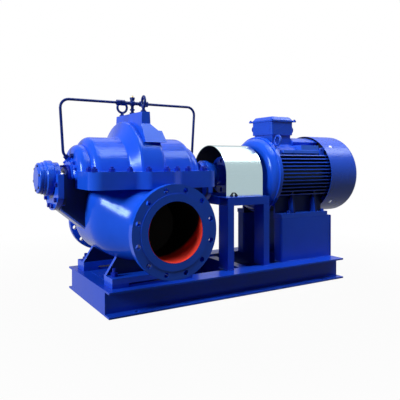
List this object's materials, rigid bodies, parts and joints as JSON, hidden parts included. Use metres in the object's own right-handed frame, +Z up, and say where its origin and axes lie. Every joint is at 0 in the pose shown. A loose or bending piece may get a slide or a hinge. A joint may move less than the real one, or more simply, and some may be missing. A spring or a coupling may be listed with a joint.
{
  "type": "split case pump set",
  "caption": "Horizontal split case pump with side suction and discharge flanges, shaft-coupled to a finned electric motor on a welded base frame.",
  "frame": {"origin": "on the floor, at the middle of the four anchor holes in the base frame's bottom flanges", "axes": "+X along the shaft from the pump to the motor, -Y towards the suction flange, +Z up"},
  "size_m": [2.13, 1.096, 1.139],
  "materials": {
    "casting_paint": "gloss blue paint over cast iron",
    "frame_paint": "gloss blue paint over rolled steel",
    "motor_paint": "satin blue paint",
    "guard_sheet": "bright rolled sheet",
    "shaft_steel": "ground",
    "bare_iron": "machined",
    "fan_plastic": "moulded"
  },
  "bodies": {
    "stationary": {"base_front_rail": "frame_paint", "base_back_rail": "frame_paint", "base_left_end": "frame_paint", "base_right_end": "frame_paint", "base_cross_members": "frame_paint", "pump_pads": "frame_paint", "lower_casing": "casting_paint", "upper_casing": "casting_paint", "lifting_eyes": "casting_paint", "vent_cross": "casting_paint", "flush_pipe_left": "casting_paint", "flush_pipe_right": "casting_paint", "gland_left": "bare_iron", "gland_right": "bare_iron", "bearing_housing_left": "casting_paint", "bearing_housing_right": "casting_paint", "bearing_cap_left": "casting_paint", "bearing_cap_right": "casting_paint", "coupling_guard": "guard_sheet", "guard_posts": "frame_paint", "guard_beams": "frame_paint", "guard_end_beams": "frame_paint", "motor_frame": "motor_paint", "motor_front_shield": "motor_paint", "motor_rear_shield": "motor_paint", "fan_cowl": "motor_paint", "terminal_box": "motor_paint", "terminal_box_cover": "motor_paint", "motor_lifting_eye": "motor_paint", "auxiliary_box": "motor_paint", "motor_pedestal_front": "frame_paint", "motor_pedestal_back": "frame_paint"},
    "rotor": {"pump_shaft": "shaft_steel", "coupling_pump_half": "casting_paint", "coupling_motor_half": "casting_paint", "motor_shaft": "shaft_steel", "cooling_fan": "fan_plastic"}
  },
  "joints": [
    {"name": "rotor_spin", "type": "hinge", "parent": "stationary", "child": "rotor", "pos_m": [0, 0, 0.678], "axis": [1, 0, 0], "continuous": true}
  ]
}
